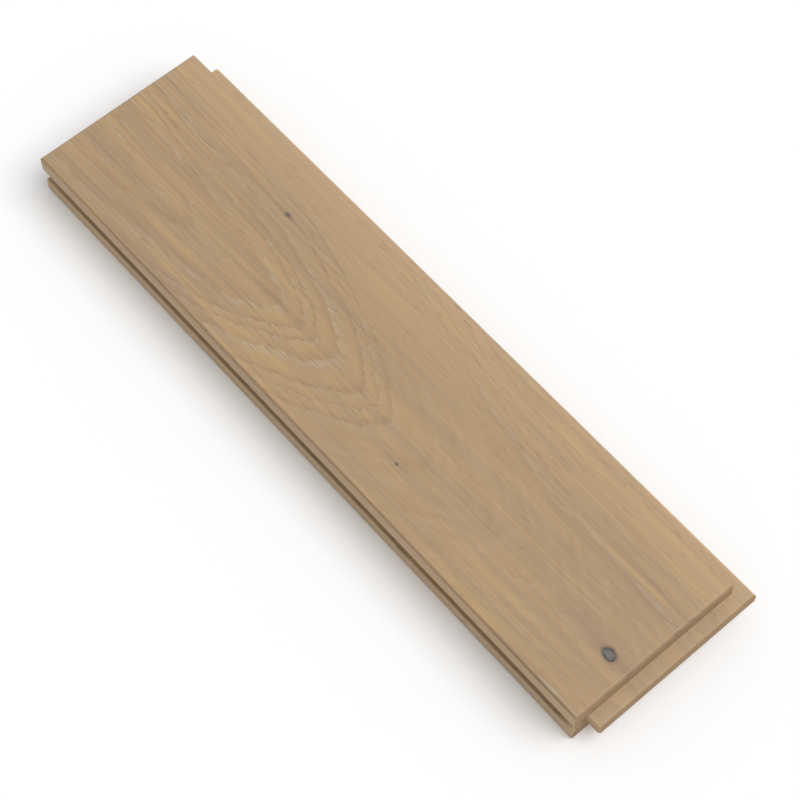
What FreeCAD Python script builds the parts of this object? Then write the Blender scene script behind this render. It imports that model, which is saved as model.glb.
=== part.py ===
import FreeCAD
import Part
import math
import os

# Solid oak parquet block for a herringbone floor: one sawn and moulded piece of wood.
# One long edge and one end carry a tongue, the opposite edge and end carry the groove that
# takes it, and all four arrises of the wear face have a micro bevel.
# Millimetres, +Z up. X runs along the grain and Y across it. The origin is the middle of the
# underside, midway between the face's joint lines.

# Driving dimensions
FACE_LENGTH = 280.0      # joint line to joint line, along the grain
FACE_WIDTH = 70.0        # joint line to joint line, across the grain
THICKNESS = 20.0         # underside to wear face
LOWER_LIP = 6.5          # underside to the groove; what is left above it can be sanded
GROOVE_HEIGHT = 6.0      # opening of the groove, lip to lip
GROOVE_DEPTH = 6.5       # joint line to the groove's floor
MICRO_BEVEL = 0.8        # leg of the 45 degree bevel round the wear face
LIP_SETBACK = 0.4        # the lower lip stands back, so that the wear faces close first
SLIDE_CLEARANCE = 0.1    # tongue to groove, on each of the tongue's two faces
TIP_CLEARANCE = 0.7      # glue room between the tongue's nose and the groove's floor
NOSE_RADIUS = 1.2        # rounded corners of the tongue's nose, which lead it into the groove
FLOOR_RADIUS = 0.6       # corners of the groove's floor, left by the cutter
MOUTH_RADIUS = 0.3       # eased arrises at the groove's mouth
FOOT_CHAMFER = 0.5       # leg of the chamfer round the underside

# Heights and lengths that follow from them
GROOVE_TOP = LOWER_LIP + GROOVE_HEIGHT
TONGUE_BOTTOM = LOWER_LIP + SLIDE_CLEARANCE
TONGUE_TOP = GROOVE_TOP - SLIDE_CLEARANCE
TONGUE_LENGTH = GROOVE_DEPTH - TIP_CLEARANCE

ALONG_GRAIN = FreeCAD.Vector(1, 0, 0)
ACROSS_GRAIN = FreeCAD.Vector(0, 1, 0)
UP = FreeCAD.Vector(0, 0, 1)


def round_corner(before, corner, after, radius):
    """Start, middle and end of the arc that rounds a corner between its two neighbours."""
    to_before = (before - corner).normalize()
    to_after = (after - corner).normalize()
    half_angle = to_before.getAngle(to_after) / 2
    setback = radius / math.tan(half_angle)
    inward = (to_before + to_after).normalize()
    middle = corner + inward * (radius / math.sin(half_angle) - radius)
    return corner + to_before * setback, middle, corner + to_after * setback


def rounded_outline(corners):
    """Closed wire through (point, radius) corners; a radius of 0 leaves the corner sharp."""
    points = [point for point, radius in corners]
    befores = points[-1:] + points[:-1]
    afters = points[1:] + points[:1]
    arcs = [
        round_corner(before, point, after, radius)
        for before, (point, radius), after in zip(befores, corners, afters)
    ]
    next_arcs = arcs[1:] + arcs[:1]
    edges = []
    for (start, middle, end), (point, radius), next_arc in zip(arcs, corners, next_arcs):
        if radius > 0:
            edges.append(Part.Arc(start, middle, end).toShape())
        edges.append(Part.LineSegment(end, next_arc[0]).toShape())
    return Part.Wire(edges)


def edge_section(face_size, outward):
    """Section from the groove edge to the tongue edge, which lies in the outward direction.

    The long edges and the ends share this section, because in a herringbone floor the end of
    one block meets the long edge of the next.
    """
    joint = face_size / 2
    lip = joint - LIP_SETBACK
    nose = joint + TONGUE_LENGTH
    groove_floor = -joint + GROOVE_DEPTH
    outline = [
        (-lip + FOOT_CHAMFER, 0, 0),
        (lip - FOOT_CHAMFER, 0, 0),
        (lip, FOOT_CHAMFER, 0),
        (lip, TONGUE_BOTTOM, 0),
        (nose, TONGUE_BOTTOM, NOSE_RADIUS),
        (nose, TONGUE_TOP, NOSE_RADIUS),
        (joint, TONGUE_TOP, 0),
        (joint, THICKNESS - MICRO_BEVEL, 0),
        (joint - MICRO_BEVEL, THICKNESS, 0),
        (-joint + MICRO_BEVEL, THICKNESS, 0),
        (-joint, THICKNESS - MICRO_BEVEL, 0),
        (-joint, GROOVE_TOP, MOUTH_RADIUS),
        (groove_floor, GROOVE_TOP, FLOOR_RADIUS),
        (groove_floor, LOWER_LIP, FLOOR_RADIUS),
        (-lip, LOWER_LIP, MOUTH_RADIUS),
        (-lip, FOOT_CHAMFER, 0),
    ]
    corners = [(outward * across + UP * height, radius) for across, height, radius in outline]
    return Part.Face(rounded_outline(corners))


def moulding(section, direction, face_size):
    """The section run along a direction, past both tongues' noses of a face of that size."""
    reach = face_size / 2 + GROOVE_DEPTH
    section.translate(direction * -reach)
    return section.extrude(direction * (2 * reach))


def parquet_block():
    """The long edges are moulded first, then the ends are matched across them.

    The end groove therefore runs out through the side tongue, and the side groove runs out
    through the end tongue, as on a machined block.
    """
    long_edges = moulding(edge_section(FACE_WIDTH, ACROSS_GRAIN), ALONG_GRAIN, FACE_LENGTH)
    ends = moulding(edge_section(FACE_LENGTH, ALONG_GRAIN), ACROSS_GRAIN, FACE_WIDTH)
    return long_edges.common(ends).Solids[0]


os.makedirs("parts", exist_ok=True)
block = parquet_block()
block.exportStep("parts/parquet_block.step")
box = block.BoundBox
print(f"parquet_block valid {block.isValid()}, volume {block.Volume / 1000:.1f} cm3, "
      f"box {box.XLength:.2f} x {box.YLength:.2f} x {box.ZLength:.2f} mm")
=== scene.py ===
import bmesh
import bpy
import math
from mathutils import Matrix, Vector


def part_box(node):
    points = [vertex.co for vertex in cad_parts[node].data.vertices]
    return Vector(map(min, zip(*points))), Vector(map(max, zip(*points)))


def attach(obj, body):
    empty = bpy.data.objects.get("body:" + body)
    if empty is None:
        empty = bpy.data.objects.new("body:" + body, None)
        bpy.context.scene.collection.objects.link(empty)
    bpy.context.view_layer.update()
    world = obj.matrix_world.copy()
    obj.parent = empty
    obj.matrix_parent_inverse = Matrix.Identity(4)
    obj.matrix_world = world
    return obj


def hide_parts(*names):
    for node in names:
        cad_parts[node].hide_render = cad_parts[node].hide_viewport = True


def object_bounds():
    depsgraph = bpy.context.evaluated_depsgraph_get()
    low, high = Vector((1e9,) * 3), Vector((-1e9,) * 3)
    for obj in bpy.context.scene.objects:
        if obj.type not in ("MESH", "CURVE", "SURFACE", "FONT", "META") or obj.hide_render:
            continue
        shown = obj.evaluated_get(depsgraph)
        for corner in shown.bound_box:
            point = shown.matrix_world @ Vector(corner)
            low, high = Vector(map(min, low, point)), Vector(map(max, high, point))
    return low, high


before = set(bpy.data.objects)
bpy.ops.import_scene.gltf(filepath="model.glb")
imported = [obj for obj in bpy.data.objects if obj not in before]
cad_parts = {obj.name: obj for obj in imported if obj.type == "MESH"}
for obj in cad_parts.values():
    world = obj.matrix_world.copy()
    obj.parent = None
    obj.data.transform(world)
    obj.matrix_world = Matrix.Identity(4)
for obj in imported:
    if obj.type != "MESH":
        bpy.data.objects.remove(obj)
cad_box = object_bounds()


# The knots. A side branch left a knot near one end of the block, and two buds left pin knots. Each narrows
# down towards the heart of the stem, parts the fibres and draws a dark trail along the grain. All three
# were filled with a grey putty before the block was sanded.
MM = 0.001              # the frame is in metres, and the sizes below are in millimetres
block_low, block_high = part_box("parquet_block")
FACE_LENGTH = -2 * block_low.x / MM     # the origin is midway between the joint lines,
FACE_WIDTH = -2 * block_low.y / MM      # and the grooved edges end at theirs
FACE_HEIGHT = block_high.z / MM
HEART_DEPTH = 36.0      # from the face down to the heart of the stem, midway along its dip
# Along and across the face, as shares of it from the grooved corner, and the knot's radius.
KNOTS = (
    (0.968, 0.328, 2.35),
    (0.274, 0.733, 0.70),
    (0.628, 0.231, 0.55),
)
KNOT_LONG = 0.75        # below 1 a knot is drawn out along the grain,
KNOT_NARROW = 1.3       # and above 1 it is drawn in across it
KNOT_RAGGED = 0.17      # its outline is uneven by this share
KNOT_FLOW = 2.6         # fibres part round a knot over this many times its length along the grain
KNOT_REACH = 1.25       # and the knot pushes as if it were this much larger
TRAIL_LENGTH = (20.0, 0.5)      # where a trail ends along the grain and where it is full, in knot radii,
TRAIL_WIDTH = (1.3, 0.1)        # and the same across the grain,
TRAIL_WAVE = 0.5                # where it wavers by this much
FAR_OFF = 1000.0        # further from any knot, in knot sizes, than the block reaches
NOISE_MIDDLE = 0.5      # smooth noise lies about this value,
NOISE_SPREAD = 0.25     # and mostly this close to it


class Field:
    """A node's output that varies through the wood, so that sums can be written with it."""

    def __init__(self, tree, socket):
        self.tree = tree
        self.socket = socket

    def math(self, operation, *others):
        return add_node(self.tree, "ShaderNodeMath", (self, *others), operation=operation)

    def __add__(self, other):
        return self.math("ADD", other)

    def __sub__(self, other):
        return self.math("SUBTRACT", other)

    def __mul__(self, other):
        return self.math("MULTIPLY", other)

    def __truediv__(self, other):
        return self.math("DIVIDE", other)

    def __rsub__(self, other):
        return add_node(self.tree, "ShaderNodeMath", (other, self), operation="SUBTRACT")

    __radd__ = __add__
    __rmul__ = __mul__

    def rise(self, low, high):
        """0 up to low and 1 from high, or the other way round where high is the smaller."""
        inputs = {"Value": self, "From Min": low, "From Max": high}
        return add_node(self.tree, "ShaderNodeMapRange", inputs, interpolation_type="SMOOTHSTEP")


def add_node(tree, kind, inputs=(), output=0, **settings):
    """A new node with its inputs, given by place or by name, and its settings. Returns an output."""
    node = tree.nodes.new(kind)
    for name, value in settings.items():
        setattr(node, name, value)
    named = inputs if isinstance(inputs, dict) else dict(enumerate(inputs))
    for key, value in named.items():
        if isinstance(value, Field):
            tree.links.new(value.socket, node.inputs[key])
        else:
            node.inputs[key].default_value = value
    return Field(tree, node.outputs[output])


def parts(place):
    """The x, y and z of a vector."""
    first = add_node(place.tree, "ShaderNodeSeparateXYZ", (place,))
    outputs = first.socket.node.outputs
    return [Field(place.tree, outputs[axis]) for axis in "XYZ"]


def shrunk(place, lengths, seed):
    """A place measured in these lengths along x, y and z, and moved by a seed."""
    inputs = (place, [1 / length for length in lengths], (seed, seed, seed))
    return add_node(place.tree, "ShaderNodeVectorMath", inputs, operation="MULTIPLY_ADD")


def swell(place, lengths, seed, detail=2.0):
    """Smooth noise, mostly from -1 to 1, whose swells have about these lengths."""
    inputs = {"Vector": shrunk(place, lengths, seed), "Scale": 1.0, "Detail": detail}
    noise = add_node(place.tree, "ShaderNodeTexNoise", inputs)
    return (noise - NOISE_MIDDLE) / NOISE_SPREAD


def pass_knots(place):
    """The y that a place would have if no knot had pushed its fibres aside, its distance from the nearest
    knot, which is 1 on the knot's outline, and how much it lies in a dark trail."""
    x, y, z = parts(place)
    taper = (z - FACE_HEIGHT) / HEART_DEPTH + 1.0
    ragged = 1.0 + KNOT_RAGGED * swell(place, lengths=(3.8, 3.2, 14.0), seed=41, detail=5.0)
    wave = TRAIL_WAVE * swell(place, lengths=(24.0, 9.0, 9.0), seed=59)
    knot_off, trail = FAR_OFF, 0.0
    for along, across, radius in KNOTS:
        ahead = x - (along - 0.5) * FACE_LENGTH
        beside = y - (across - 0.5) * FACE_WIDTH
        girth = taper * radius
        oval = KNOT_LONG * ahead * ahead + KNOT_NARROW * beside * beside
        knot_off = (oval.math("SQRT") / (girth * ragged)).math("MINIMUM", knot_off)
        near = (ahead / radius).math("ABSOLUTE").rise(*TRAIL_LENGTH)
        astray = (beside / radius + wave).math("ABSOLUTE")
        trail = near * astray.rise(*TRAIL_WIDTH) + trail
        reach = KNOT_REACH * girth
        long_way = ahead / KNOT_FLOW
        push = reach * reach / (long_way * long_way + beside * beside)
        y = y - beside * push.math("MINIMUM", 1.0)
    return y, knot_off, trail


# The growth rings. The block was sawn flat from beside the heart of an oak stem that leans away along it,
# so its rings come out as arches on the face, as lines on the edges and as arcs on the ends. For some
# years the stem grew evenly, and there the wood is calm, with a faint mottle.
HEART_SIDE = -11.0      # from the middle of the width to the heart
HEART_DIP = 12.5        # the heart is so much nearer to the face at one end, and deeper at the other
DIP_PLACE = 5.0         # along the block
DIP_LENGTH = 75.0
HEART_WANDER = 1.2      # it strays by about this much
FIBRE_SWAY = 0.8        # the fibres sway with the stem by this much,
RING_SWAY = 1.5         # and its rings by this much
RING_WIDTH = 1.9
RING_SPREAD = 0.25      # a ring falls away from its crest by this slope,
RING_BEND = 0.0045      # and by this more for each millimetre further out,
RING_LEAN = 0.0021      # more on one side than on the other
CREST_ROUND = 4.0
RING_WAVE = 0.28        # a ring waves by this much,
RING_TEETH = 0.22       # and its fibres make teeth of this height
RING_UNEVEN = 0.30      # wide and narrow years take turns by this share of a ring,
RING_TURN = 1.9         # and a year is this angle of such a turn
RING_SEED = 226         # sets which years are strong
FAINTEST_RING = 0.25    # as a share of the strongest
EARLY_WOOD = (0.38, 0.05)       # where a ring's early wood ends and where it is full, as shares of it
CALM_START = (38.9, 40.1)       # radii over which the even growth sets in,
CALM_END = (53.0, 50.0)         # and those where it is over and where it is still full
CALM_FAINT = 0.75       # its rings are fainter by this share
MOTTLE_SLOPE = 1.8      # the mottle slopes in towards the arches' tips,
MOTTLE_WARP = 2.5       # wanders along the grain by this much,
MOTTLE_REACH = (26.0, 8.0)      # ends this far from the arches' axis, and is full here


def vector(x, y, z):
    """Three fields, or fields and numbers, as one vector."""
    tree = next(value.tree for value in (x, y, z) if isinstance(value, Field))
    return add_node(tree, "ShaderNodeCombineXYZ", (x, y, z))


def grow(place):
    """The form of the oak at a place in the block."""
    x, _, z = parts(place)
    y, knot_off, trail = pass_knots(place)
    sway = swell(place, lengths=(120.0, 55.0, 55.0), seed=3)
    fibre = vector(x, y + FIBRE_SWAY * sway, z)
    across = y - HEART_SIDE + RING_SWAY * sway
    heart = HEART_DEPTH + HEART_DIP * ((x - DIP_PLACE) / DIP_LENGTH).math("TANH")
    depth = z - FACE_HEIGHT + heart + HEART_WANDER * swell(place, lengths=(70.0, 40.0, 40.0), seed=11)
    aside = (across * across + CREST_ROUND ** 2).math("SQRT") - CREST_ROUND
    bend = RING_BEND + RING_LEAN * across / (aside + CREST_ROUND)
    radius = depth + (RING_SPREAD + bend * aside) * aside
    radius = radius + RING_WAVE * swell(place, lengths=(34.0, 7.0, 7.0), seed=17)
    radius = radius + RING_TEETH * swell(fibre, lengths=(45.0, 0.8, 0.8), seed=19)

    ring = radius / RING_WIDTH
    ring = ring + RING_UNEVEN * (ring * RING_TURN).math("SINE")
    year = ring.math("FLOOR") + RING_SEED
    luck = add_node(place.tree, "ShaderNodeTexWhiteNoise", {"W": year}, noise_dimensions="1D")
    calm = radius.rise(*CALM_START) * radius.rise(*CALM_END)
    strong = (FAINTEST_RING + (1 - FAINTEST_RING) * luck) * (1.0 - CALM_FAINT * calm)

    warp = MOTTLE_WARP * swell(place, lengths=(16.0, 8.0, 8.0), seed=73)
    slant = vector(x + MOTTLE_SLOPE * aside + warp, across, z)
    mottle = swell(slant, lengths=(5.5, 9.0, 9.0), seed=71, detail=3.0)
    round_heart = across.math("ARCTAN2", depth) * HEART_DEPTH
    return {
        "phase": ring.math("FRACT"),
        "strong": strong,
        "fibre": fibre,
        "sheet": vector(x, round_heart, radius),
        "knot_off": knot_off,
        "trail": trail,
        "calm": calm,
        "mottle": calm * aside.rise(*MOTTLE_REACH) * mottle,
    }


def early_wood(wood):
    """The open, soft band that each ring starts with: 1 in it, 0 outside."""
    return wood["phase"].rise(*EARLY_WOOD) * wood["strong"]


# The oak. Its colour goes from grey to golden in bands, streaks and flecks along the fibres. A ring starts
# with early wood, some of whose pores are filled with a pale paste, and ends with darker late wood. Rays
# show as short dashes, and minerals as brown streaks.
def in_mm(place):
    """A place in metres as one in millimetres."""
    return add_node(place.tree, "ShaderNodeVectorMath", {0: place, "Scale": 1 / MM}, operation="SCALE")


def scatter(place, lengths, seed):
    """Points strewn about one to each box of these lengths: how far off the nearest is, as a share of
    the box, and that point's own random number."""
    inputs = {"Vector": shrunk(place, lengths, seed), "Scale": 1.0}
    distance = add_node(place.tree, "ShaderNodeTexVoronoi", inputs)
    return distance, Field(place.tree, distance.socket.node.outputs["Color"])


def linear(red, green, blue):
    """A colour card's 0 to 255 as the linear values that a shader takes."""
    shares = [value / 255 for value in (red, green, blue)]
    return [s / 12.92 if s <= 0.04045 else ((s + 0.055) / 1.055) ** 2.4 for s in shares] + [1.0]


# Places of the sockets that a mix node has for colours.
MIX_SHARE, MIX_FIRST, MIX_SECOND, MIX_RESULT = 0, 6, 7, 2


def mix(share, first, second, how="MIX"):
    """first where share is 0, and second, or the two combined, where it is 1."""
    inputs = {MIX_SHARE: share, MIX_FIRST: first, MIX_SECOND: second}
    tree = next(value.tree for value in (share, first, second) if isinstance(value, Field))
    return add_node(tree, "ShaderNodeMix", inputs, MIX_RESULT, data_type="RGBA", blend_type=how)


def new_group(name, inputs, outputs):
    """An empty shader group with these names and kinds of sockets. Returns it, and its inputs by name."""
    group = bpy.data.node_groups.new(name, "ShaderNodeTree")
    for side, sockets in (("INPUT", inputs), ("OUTPUT", outputs)):
        for label, kind in sockets.items():
            group.interface.new_socket(label, in_out=side, socket_type="NodeSocket" + kind)
    way_in = group.nodes.new("NodeGroupInput")
    return group, {label: Field(group, way_in.outputs[label]) for label in inputs}


def put_out(group, results):
    """Links results to the group's outputs, by name."""
    way_out = group.nodes.new("NodeGroupOutput")
    for label, value in results.items():
        group.links.new(value.socket, way_out.inputs[label])


oak, _ = new_group(
    "Oak",
    {},
    {"Color": "Color", "Pores": "Float", "Late wood": "Float", "Knots": "Float", "Height": "Float"},
)
here = in_mm(add_node(oak, "ShaderNodeTexCoord", output="Object"))
wood = grow(here)
fibre = wood["fibre"]

# The ground colour, and how far each pattern turns it golden and lightens it.
OAK_GREY = linear(171, 144, 113)
OAK_GOLD = linear(179, 148, 106)
TURNS_GOLDEN = {"band": 0.40, "streak": 0.35, "drift": 0.20, "mottle": -0.20, "calm": -0.10}
LIGHTENS = {
    "band": 0.07, "streak": 0.07, "fleck": 0.05, "drift": 0.03, "mottle": 0.075, "pale": 0.15,
}
GOLDEN_FROM = 0.5       # the share of gold that they add to,
LIGHT_FROM = 0.932      # and the lightness
# Across the face, where the paler outer wood starts and where it is palest. Lower down it lies further out.
PALE_WOOD = (8.0, 34.0)
CALM_BLUR = 0.3         # bands and streaks are weaker by this share in the calm wood
straight = 1.0 - CALM_BLUR * wood["calm"]
_, side, level = parts(fibre)
patterns = {
    "band": straight * swell(fibre, lengths=(95.0, 3.0, 3.0), seed=29, detail=3.0),
    "streak": straight * swell(fibre, lengths=(45.0, 0.9, 0.9), seed=30, detail=4.0),
    "fleck": swell(fibre, lengths=(12.0, 0.28, 0.28), seed=31, detail=3.0),
    "drift": swell(here, lengths=(95.0, 30.0, 30.0), seed=37),
    "mottle": wood["mottle"],
    "calm": wood["calm"],
    "pale": (side + level - FACE_HEIGHT).rise(*PALE_WOOD),
}
golden = sum((share * patterns[name] for name, share in TURNS_GOLDEN.items()), GOLDEN_FROM)
tone = sum((share * patterns[name] for name, share in LIGHTENS.items()), LIGHT_FROM)
color = mix(golden.rise(0.0, 1.0), OAK_GREY, OAK_GOLD)

# The bands of a ring, which come and go along the fibres.
OAK_LATE = linear(150, 120, 94)
LATE_SHARE = 0.75
LATE_WOOD = (0.50, 0.95)        # where a ring's late wood starts and where it is full, as shares of it,
LATE_STOP = (1.0, 0.97)         # and where it is over and where it is still full
BROKEN = (0.62, 0.45)           # how dark the late wood is on the whole, and how much that varies
PORE_FILL = linear(180, 165, 143)
EARLY_SHARE = 0.24
EARLY_DRIFT = (0.8, 0.4)        # how open the early wood is on the whole, and how much that varies
broken = (BROKEN[0] + BROKEN[1] * swell(fibre, lengths=(26.0, 1.2, 1.2), seed=33)).math("MAXIMUM", 0.0)
early = early_wood(wood) * (EARLY_DRIFT[0] + EARLY_DRIFT[1] * patterns["drift"])
late = wood["phase"].rise(*LATE_WOOD) * wood["phase"].rise(*LATE_STOP) * wood["strong"] * broken
color = mix(late * LATE_SHARE, color, OAK_LATE)
color = mix(early * broken * EARLY_SHARE, color, PORE_FILL)
color = mix(1.0, color, vector(tone, tone, tone), "MULTIPLY")

# Minerals and rays. A size is where a mark ends and where it is full, as shares of its box, and a chance is
# the random numbers from which a mark is there at all, and there in full.
MINERAL = linear(134, 107, 85)
MINERAL_SHARE = 0.6
MINERAL_SIZE = (0.30, 0.05)
MINERAL_CHANCE = (0.45, 0.60)
MINERAL_STREAK = (0.5, 0.6)     # how brown it is on the whole, and how much that varies
RAY = linear(153, 123, 93)
RAY_SHARE = 0.5
RAY_SIZE = (0.26, 0.12)
RAY_CHANCE = (0.50, 0.58)
mineral_away, mineral_luck = scatter(fibre, lengths=(85.0, 8.0, 8.0), seed=53)
mineral_streak = MINERAL_STREAK[0] + MINERAL_STREAK[1] * patterns["streak"]
mineral = mineral_away.rise(*MINERAL_SIZE) * mineral_luck.rise(*MINERAL_CHANCE) * mineral_streak
color = mix(mineral.math("MAXIMUM", 0.0) * MINERAL_SHARE, color, MINERAL)
ray_away, ray_luck = scatter(wood["sheet"], lengths=(13.0, 0.6, 26.0), seed=47)
rays = ray_away.rise(*RAY_SIZE) * ray_luck.rise(*RAY_CHANCE)
color = mix(rays * RAY_SHARE, color, RAY)

# Pores, of which some are filled and the others lie in their own shade.
PORE_SHADE = linear(133, 105, 79)
OPEN_SHARE = 0.5
FILLED_SHARE = 0.75
FILLED_CHANCE = (0.35, 0.55)
PORE_SIZE = 0.15        # as a share of its box,
PORE_EARLY = 0.37       # and so much more in the early wood,
PORE_VARIES = 0.06      # and by chance
PORE_RIM = 0.12
pore_away, pore_luck = scatter(fibre, lengths=(9.0, 0.42, 0.42), seed=43)
pores = (PORE_SIZE + PORE_EARLY * early + PORE_VARIES * pore_luck - pore_away).rise(0.0, PORE_RIM)
filled = pore_luck.rise(*FILLED_CHANCE)
color = mix(pores * (1.0 - filled) * OPEN_SHARE, color, PORE_SHADE)
color = mix(pores * filled * FILLED_SHARE, color, PORE_FILL)

# The knots' trails, rims and putty, which is darker outwards and cloudy.
KNOT_STAIN = linear(146, 120, 97)
STAIN_STREAK = (0.55, 0.8)      # how dark a trail is on the whole, and how much that varies
KNOT_RIM = linear(112, 91, 73)
RIM_SIZE = (1.65, 1.0)          # where the rim ends and where it is full, in knot sizes
RIM_CLOUD = (0.55, 0.3)         # how dark it is on the whole, and how much that varies
KNOT_FILL = linear(108, 106, 102)
KNOT_FILL_DARK = linear(62, 58, 55)
FILL_SIZE = (1.14, 0.84)        # where the putty ends and where it is full
FILL_DARK_FROM = 0.2            # and where it starts to darken
FILL_CLOUD = 0.5
cloud = swell(here, lengths=(1.3, 1.3, 5.0), seed=61, detail=4.0)
stain = wood["trail"] * (STAIN_STREAK[0] + STAIN_STREAK[1] * patterns["streak"])
rim = wood["knot_off"].rise(*RIM_SIZE) * (RIM_CLOUD[0] + RIM_CLOUD[1] * cloud)
knots = wood["knot_off"].rise(*FILL_SIZE)
darker = (wood["knot_off"] - FILL_DARK_FROM + FILL_CLOUD * cloud).rise(0.0, 1.0)
color = mix(stain.rise(0.0, 1.0), color, KNOT_STAIN)
color = mix(rim, color, KNOT_RIM)
color = mix(knots, color, mix(darker, KNOT_FILL, KNOT_FILL_DARK))

# The relief: pores are open, the fibres stand up a little, and the putty has shrunk.
PORE_DEPTH = 0.04
FLECK_HEIGHT = 0.006
PUTTY_SINK = 0.03
fibres = FLECK_HEIGHT * patterns["fleck"] - PORE_DEPTH * pores
height = fibres * (1.0 - knots) - PUTTY_SINK * knots
put_out(oak, {"Color": color, "Pores": pores, "Late wood": late, "Knots": knots, "Height": height})


# The block. The sawn blank is planed, moulded on all four sides and sanded. It is made from the CAD solid's
# own faces, with the arrises of the face and of the foot softened, and the face's soft early wood is
# brushed a little below the hard late wood.
ARRIS = 0.2
ARRIS_STEPS = 2
ARRIS_ROUND = 0.5       # a round profile, between 0, hollow, and 1, full
SHARP_ANGLE = math.radians(40)
FLAT_ANGLE = math.radians(1)
FACE_RIM = 0.8          # a level rim lies between the face's arris and its brushed middle,
FACE_CELLS = 240        # which has this many cells each way
BRUSHED_DEPTH = 0.05
BRUSHED_FROM = 1.8      # the brushing starts this far inside the joint lines,
BRUSHED_FADE = 2.0      # and is full after so much more
FACE_ROOM = 0.01        # points this close to the face's height are brushed
BEVEL_ROOM = 1.0        # the bevels lie this close to the face and to the underside
GROOVE_DEPTH = 6.5
TONGUE_HEIGHT = 9.5     # mid-height of the tongues and grooves
LIP_SETBACK = 0.4
GROOVED_END = GROOVE_DEPTH - FACE_LENGTH / 2
TONGUED_END = FACE_LENGTH / 2 - LIP_SETBACK
WELD = 0.001
LEVEL = 0.99            # a level face's normal points up or down at least this much,
SLOPED = 0.3            # and a bevel's this much
MITRE = 0.01            # a face that slants both ways alike, to this much, counts as an edge
FACE, EDGE, END = range(3)      # the finishes, in the order that they are made in below
# Rows of the map that the finishes are baked through, as shares of its height. The face shows most.
MAP_GAP = 0.005
FACE_ROW = (0.005, 0.56)
FOOT_ROW = (0.565, 0.69)
GROOVE_ROW = (0.695, 0.79)
TONGUE_ROW = (0.795, 0.89)
END_ROW = (0.895, 0.995)


def shelves(mesh):
    """The level faces inside the edges' profile: the broad sides of the tongues and the grooves."""
    lowest, highest = BEVEL_ROOM, FACE_HEIGHT - BEVEL_ROOM
    return [
        face for face in mesh.faces
        if abs(face.normal.z) > LEVEL and lowest < face.calc_center_median().z / MM < highest
    ]


def finish_of(face):
    """The finish of a face, and the row of the map that it lies in."""
    middle = face.calc_center_median() / MM
    slant_x, slant_y, slant_z = (abs(slant) for slant in face.normal)
    past_ends = not GROOVED_END < middle.x < TONGUED_END
    if slant_z > SLOPED and middle.z > FACE_HEIGHT - BEVEL_ROOM:
        return FACE, FACE_ROW
    if slant_z > SLOPED and middle.z < BEVEL_ROOM:
        return EDGE, FOOT_ROW
    if slant_x > slant_y + MITRE or (past_ends and slant_z > LEVEL):
        return END, END_ROW
    return EDGE, TONGUE_ROW if middle.y > 0 else GROOVE_ROW


def unrolled(off_middle, face_size, height):
    """How far down an edge's profile a point lies, in or out along its groove or tongue, as a share."""
    out = off_middle - math.copysign(face_size / 2, off_middle)
    way = out if height > TONGUE_HEIGHT else 2 * GROOVE_DEPTH - out
    return (FACE_HEIGHT - height + way) / (FACE_HEIGHT + 2 * GROOVE_DEPTH)


def on_map(point, row, at_tongued_end):
    """Where a point lies on the map. The two ends share a row, one after the other."""
    spot = point / MM
    along = (point.x - block_low.x) / (block_high.x - block_low.x)
    across = (point.y - block_low.y) / (block_high.y - block_low.y)
    if row is END_ROW:
        along = (across + at_tongued_end * (1 + MAP_GAP)) / (2 + MAP_GAP)
        up = unrolled(spot.x, FACE_LENGTH, spot.z)
    elif row in (FACE_ROW, FOOT_ROW):
        up = across
    else:
        up = unrolled(spot.y, FACE_WIDTH, spot.z)
    return MAP_GAP + along * (1 - 2 * MAP_GAP), row[0] + up * (row[1] - row[0])


solid_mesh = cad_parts["parquet_block"].data
blank = bmesh.new()
points = [blank.verts.new(vertex.co) for vertex in solid_mesh.vertices]
for polygon in solid_mesh.polygons:
    blank.faces.new([points[index] for index in polygon.vertices])
bmesh.ops.remove_doubles(blank, verts=blank.verts, dist=WELD * MM)
blank.normal_update()
bmesh.ops.dissolve_limit(blank, angle_limit=FLAT_ANGLE, verts=blank.verts, edges=blank.edges)
arrises = []
for edge in blank.edges:
    heights = [vert.co.z / MM for vert in edge.verts]
    if min(heights) > FACE_HEIGHT - BEVEL_ROOM or max(heights) < BEVEL_ROOM:
        arrises.append(edge)
bmesh.ops.bevel(
    blank, geom=arrises, offset=ARRIS * MM, offset_type="OFFSET", segments=ARRIS_STEPS,
    profile=ARRIS_ROUND, affect="EDGES",
)
for cut in (GROOVED_END, TONGUED_END):
    geometry = {part for face in shelves(blank) for part in (face, *face.edges, *face.verts)}
    bmesh.ops.bisect_plane(
        blank, geom=list(geometry), dist=WELD * MM, plane_co=(cut * MM, 0, 0), plane_no=(1, 0, 0),
    )
bmesh.ops.remove_doubles(blank, verts=blank.verts, dist=WELD * MM)
wear_face = max(blank.faces, key=lambda face: face.calc_center_median().z + face.calc_area())
bmesh.ops.inset_individual(blank, faces=[wear_face], thickness=FACE_RIM * MM, use_even_offset=True)
bmesh.ops.subdivide_edges(
    blank, edges=wear_face.edges, cuts=FACE_CELLS - 1, use_grid_fill=True, use_single_edge=True,
)
many_sided = [face for face in blank.faces if len(face.verts) > 4]
bmesh.ops.triangulate(blank, faces=many_sided, ngon_method="BEAUTY")
blank.normal_update()
for edge in blank.edges:
    edge.smooth = edge.calc_face_angle() < SHARP_ANGLE

bake_map = blank.loops.layers.uv.new("OFBake")
for face in blank.faces:
    face.smooth = True
    face.material_index, row = finish_of(face)
    at_tongued_end = face.calc_center_median().x > 0
    for corner in face.loops:
        corner[bake_map].uv = on_map(corner.vert.co, row, at_tongued_end)

block_mesh = bpy.data.meshes.new("oak_block")
blank.to_mesh(block_mesh)
blank.free()
block = bpy.data.objects.new("oak_block", block_mesh)
bpy.context.scene.collection.objects.link(block)

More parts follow.
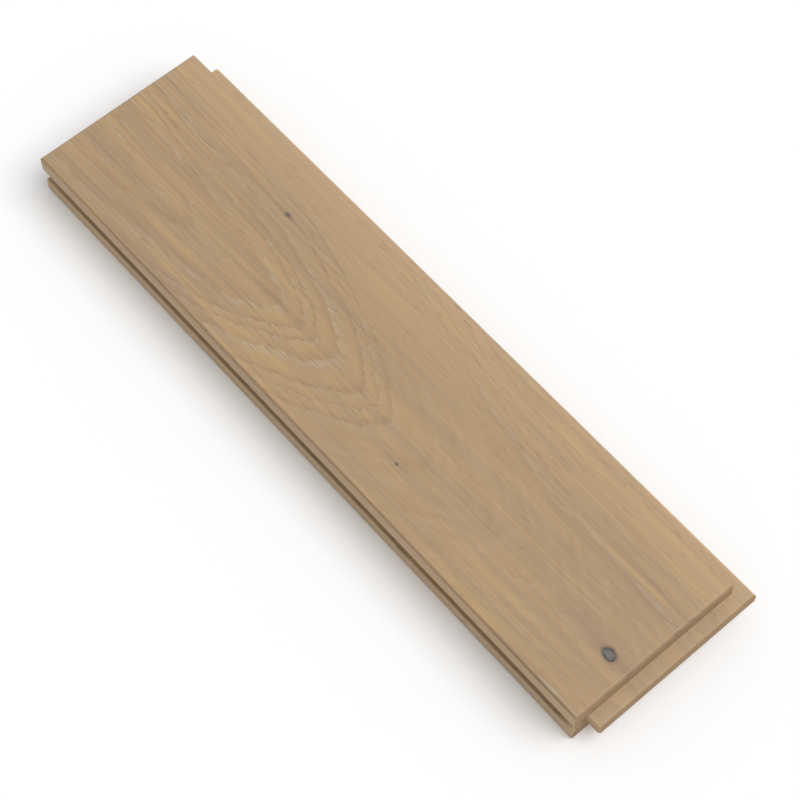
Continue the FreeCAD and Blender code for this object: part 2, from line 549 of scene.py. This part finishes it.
brushed = bpy.data.node_groups.new("Brushed face", "GeometryNodeTree")
brushed.interface.new_socket("Geometry", in_out="INPUT", socket_type="NodeSocketGeometry")
brushed.interface.new_socket("Geometry", in_out="OUTPUT", socket_type="NodeSocketGeometry")
unbrushed = Field(brushed, brushed.nodes.new("NodeGroupInput").outputs["Geometry"])
spot = in_mm(add_node(brushed, "GeometryNodeInputPosition"))
x, y, z = parts(spot)
inside = (FACE_LENGTH / 2 - x.math("ABSOLUTE")).math("MINIMUM", FACE_WIDTH / 2 - y.math("ABSOLUTE"))
brushing = inside.rise(BRUSHED_FROM, BRUSHED_FROM + BRUSHED_FADE)
sink = early_wood(grow(spot)) * brushing * (-BRUSHED_DEPTH * MM)
on_face = z.math("GREATER_THAN", FACE_HEIGHT - FACE_ROOM)
moved = add_node(
    brushed, "GeometryNodeSetPosition",
    {"Geometry": unbrushed, "Selection": on_face, "Offset": vector(0.0, 0.0, sink)},
)
put_out(brushed, {"Geometry": moved})
block.modifiers.new("Brushed face", "NODES").node_group = brushed
weighted = block.modifiers.new("Flat faces", "WEIGHTED_NORMAL")
weighted.keep_sharp = True

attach(block, "root")
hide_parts("parquet_block")


# The lacquered face. A matt lacquer over the sanded face and its four micro bevels, thin enough that the
# pores still show in it. The bevels are darker, partly from lacquer gathered in them and partly painted
# shade.
def place_group(tree, group, inputs=None):
    """A group placed in a material. Returns its outputs by name."""
    node = tree.nodes.new("ShaderNodeGroup")
    node.node_tree = group
    for label, value in (inputs or {}).items():
        if isinstance(value, Field):
            tree.links.new(value.socket, node.inputs[label])
        else:
            node.inputs[label].default_value = value
    return {socket.name: Field(tree, socket) for socket in node.outputs}


def new_finish(name):
    """A material for the block: its node tree, the oak in it, and the place on the block."""
    material = bpy.data.materials.new(name)
    material.use_nodes = True
    block_mesh.materials.append(material)
    tree = material.node_tree
    on_block = in_mm(add_node(tree, "ShaderNodeTexCoord", output="Object"))
    return tree, place_group(tree, oak), on_block


def lay_on(tree, color, roughness, height):
    """Puts a colour, a roughness and a relief in millimetres on a material's shader."""
    bump = add_node(tree, "ShaderNodeBump", {"Distance": MM, "Height": height})
    shader = tree.nodes["Principled BSDF"]
    for label, value in (("Base Color", color), ("Roughness", roughness), ("Normal", bump)):
        tree.links.new(value.socket, shader.inputs[label])


LACQUER_ROUGHNESS = 0.47
PORE_ROUGHER = 0.16
LATE_SMOOTHER = 0.05
PUTTY_SMOOTHER = 0.12
# The bevels' darker tint: lacquer gathered in them, and painted shade for the shadow in the groove between
# blocks.
BEVEL_POOL_AND_SHADE = linear(228, 222, 214)
BEVEL_POOL_AND_SHADE_DEPTH = (0.06, 0.3)      # below the face, where the tint starts and where it is full
tree, figure, on_block = new_finish("lacquered_oak")
bevel = (FACE_HEIGHT - parts(on_block)[2]).rise(*BEVEL_POOL_AND_SHADE_DEPTH)
color = mix(bevel, figure["Color"], mix(1.0, figure["Color"], BEVEL_POOL_AND_SHADE, "MULTIPLY"))
roughness = LACQUER_ROUGHNESS + PORE_ROUGHER * figure["Pores"]
roughness = roughness - LATE_SMOOTHER * figure["Late wood"] - PUTTY_SMOOTHER * figure["Knots"]
lay_on(tree, color, roughness, figure["Height"])


# The edges and the underside. Planed and moulded by turning knives that leave a fine row of shallow
# scallops along the grain. They are left raw, so they are paler, but for the lacquer that ran a little
# way down from the face.
RAW_OAK = linear(205, 184, 154)
RAW_SHARE = 0.28
RAW_ROUGHNESS = 0.80
RAW_RELIEF = 0.6        # share of the oak's relief that the knives leave
END_TINT = linear(204, 194, 184)
# Open pores on the raw wood are painted dark: painted shade inside them.
OPEN_PORE_SHADE = linear(96, 74, 54)
OPEN_PORE_SHARE = 0.45
END_PORE_SHARE = 0.35   # so much more on end grain
SPILL_DEPTH = 1.4
SPILL_FADE = 0.5
SPILL_WAVER = 0.3
SPILL_SMOOTHER = 0.25
KNIFE_PITCH = 1.7
KNIFE_DEPTH = 0.012
KNIFE_VARIES = 0.4      # share of a scallop's depth that differs from knife to knife

knives, entered = new_group("Knife marks", {"Along": "Float", "Pitch": "Float"}, {"Scallops": "Float"})
strokes = entered["Along"] / entered["Pitch"]
off_middle = 2.0 * (strokes.math("FRACT") - 0.5)
stroke = strokes.math("FLOOR")
proud_knife = add_node(knives, "ShaderNodeTexWhiteNoise", {"W": stroke}, noise_dimensions="1D")
scallops = off_middle * off_middle * (1 - KNIFE_VARIES + KNIFE_VARIES * proud_knife)
put_out(knives, {"Scallops": scallops})

raw, entered = new_group(
    "Raw oak",
    {"Color": "Color", "Pores": "Float", "End grain": "Float", "Place": "Vector"},
    {"Color": "Color", "Spill": "Float"},
)
waver = SPILL_WAVER * swell(entered["Place"], lengths=(14.0, 14.0, 14.0), seed=67)
below = FACE_HEIGHT - parts(entered["Place"])[2] + waver
spill = below.rise(SPILL_DEPTH + SPILL_FADE, SPILL_DEPTH - SPILL_FADE)
color = mix((1.0 - spill) * RAW_SHARE, entered["Color"], RAW_OAK)
color = mix(entered["End grain"], color, mix(1.0, color, END_TINT, "MULTIPLY"))
open_pores = entered["Pores"] * (OPEN_PORE_SHARE + END_PORE_SHARE * entered["End grain"])
color = mix(open_pores, color, OPEN_PORE_SHADE)
put_out(raw, {"Color": color, "Spill": spill})

tree, figure, on_block = new_finish("planed_oak")
surface = place_group(
    tree, raw, {"Color": figure["Color"], "Pores": figure["Pores"], "Place": on_block},
)
marks = place_group(tree, knives, {"Along": parts(on_block)[0], "Pitch": KNIFE_PITCH})
roughness = RAW_ROUGHNESS - SPILL_SMOOTHER * surface["Spill"]
height = RAW_RELIEF * figure["Height"] + KNIFE_DEPTH * marks["Scallops"]
lay_on(tree, surface["Color"], roughness, height)


# The ends. Sawn across the grain, then shaped by cutters that pass along the end, so their marks stand
# upright. Where the cut crosses the fibres, the open pores drink the light and the wood is darker.
CUTTER_PITCH = 1.1
CUTTER_DEPTH = 0.018
END_GRAIN = (0.25, 0.8)         # how far a face turns to the end where end grain starts, and is full
END_ROUGHER = 0.08
END_SPILL_SMOOTHER = 0.2
tree, figure, on_block = new_finish("end_cut_oak")
facing = parts(add_node(tree, "ShaderNodeNewGeometry", output="True Normal"))[0].math("ABSOLUTE")
end_grain = facing.rise(*END_GRAIN)
surface = place_group(
    tree, raw,
    {"Color": figure["Color"], "Pores": figure["Pores"], "End grain": end_grain, "Place": on_block},
)
marks = place_group(tree, knives, {"Along": parts(on_block)[1], "Pitch": CUTTER_PITCH})
roughness = RAW_ROUGHNESS + END_ROUGHER * end_grain - END_SPILL_SMOOTHER * surface["Spill"]
lay_on(tree, surface["Color"], roughness, figure["Height"] + CUTTER_DEPTH * marks["Scallops"])


# The floor and the light. A plain white sheet in white surroundings, one large soft lamp from the upper
# right, and even light from all round.
FLOOR_HALF = 6.0        # metres
FLOOR_WHITE = 0.985
EVEN_LIGHT = 0.55
LAMP_LIGHT = 0.48
LAMP_FROM = Vector((0.55, 0.35, 1.0)).normalized()
LAMP_SPREAD = math.radians(50)

floor_mesh = bpy.data.meshes.new("floor")
corners = [(FLOOR_HALF * sx, FLOOR_HALF * sy, 0.0) for sx, sy in ((-1, -1), (1, -1), (1, 1), (-1, 1))]
floor_mesh.from_pydata(corners, [], [(0, 1, 2, 3)])
floor = bpy.data.objects.new("floor", floor_mesh)
bpy.context.scene.collection.objects.link(floor)
white = bpy.data.materials.new("white_sheet")
white.use_nodes = True
white_shader = white.node_tree.nodes["Principled BSDF"]
white_shader.inputs["Base Color"].default_value = (FLOOR_WHITE, FLOOR_WHITE, FLOOR_WHITE, 1.0)
white_shader.inputs["Roughness"].default_value = 1.0
white_shader.inputs["Specular IOR Level"].default_value = 0.0
floor_mesh.materials.append(white)

world = bpy.data.worlds.new("white_surroundings")
bpy.context.scene.world = world
world.use_nodes = True
surroundings = world.node_tree.nodes["Background"]
surroundings.inputs["Color"].default_value = (1.0, 1.0, 1.0, 1.0)
# The camera and reflections see the surroundings white, though they light the block less than that.
seen_white = 0.0
for ray in ("Is Camera Ray", "Is Glossy Ray", "Is Transmission Ray"):
    seen_white = add_node(world.node_tree, "ShaderNodeLightPath", output=ray).math("MAXIMUM", seen_white)
strength = EVEN_LIGHT + (1.0 - EVEN_LIGHT) * seen_white
world.node_tree.links.new(strength.socket, surroundings.inputs["Strength"])
lamp_data = bpy.data.lights.new("soft_lamp", "SUN")
lamp_data.energy = LAMP_LIGHT * math.pi / LAMP_FROM.z
lamp_data.angle = LAMP_SPREAD
lamp = bpy.data.objects.new("soft_lamp", lamp_data)
lamp.rotation_euler = (-LAMP_FROM).to_track_quat("-Z", "Y").to_euler()
bpy.context.scene.collection.objects.link(lamp)


# The camera looks down on the block, which runs from the upper left to the lower right. It stands just far
# enough off that the block's box fills the given share of the picture.
VIEW_AROUND = math.radians(49)
VIEW_DOWN = math.radians(62)
LENS = 100.0
FILL = 0.90
camera_data = bpy.data.cameras.new("camera")
camera_data.lens = LENS
camera = bpy.data.objects.new("camera", camera_data)
bpy.context.scene.collection.objects.link(camera)
bpy.context.scene.camera = camera
towards = Vector((
    math.sin(VIEW_AROUND) * math.cos(VIEW_DOWN),
    -math.cos(VIEW_AROUND) * math.cos(VIEW_DOWN),
    math.sin(VIEW_DOWN),
))
turn = (-towards).to_track_quat("-Z", "Y").to_matrix()
half_view = FILL * camera_data.sensor_width / 2 / LENS
low, high = cad_box
box_corners = [
    Vector((x, y, z)) for x in (low.x, high.x) for y in (low.y, high.y) for z in (low.z, high.z)
]
seen = [turn.transposed() @ corner for corner in box_corners]
middle_seen, needed = [], []
for axis in (0, 1):
    ahead = max(corner[axis] + half_view * corner.z for corner in seen)
    behind = max(-corner[axis] + half_view * corner.z for corner in seen)
    middle_seen.append((ahead - behind) / 2)
    needed.append((ahead + behind) / 2 / half_view)
camera.matrix_world = Matrix.Translation(turn @ Vector((*middle_seen, max(needed)))) @ turn.to_4x4()

view = bpy.context.scene.view_settings
view.view_transform = "Standard"
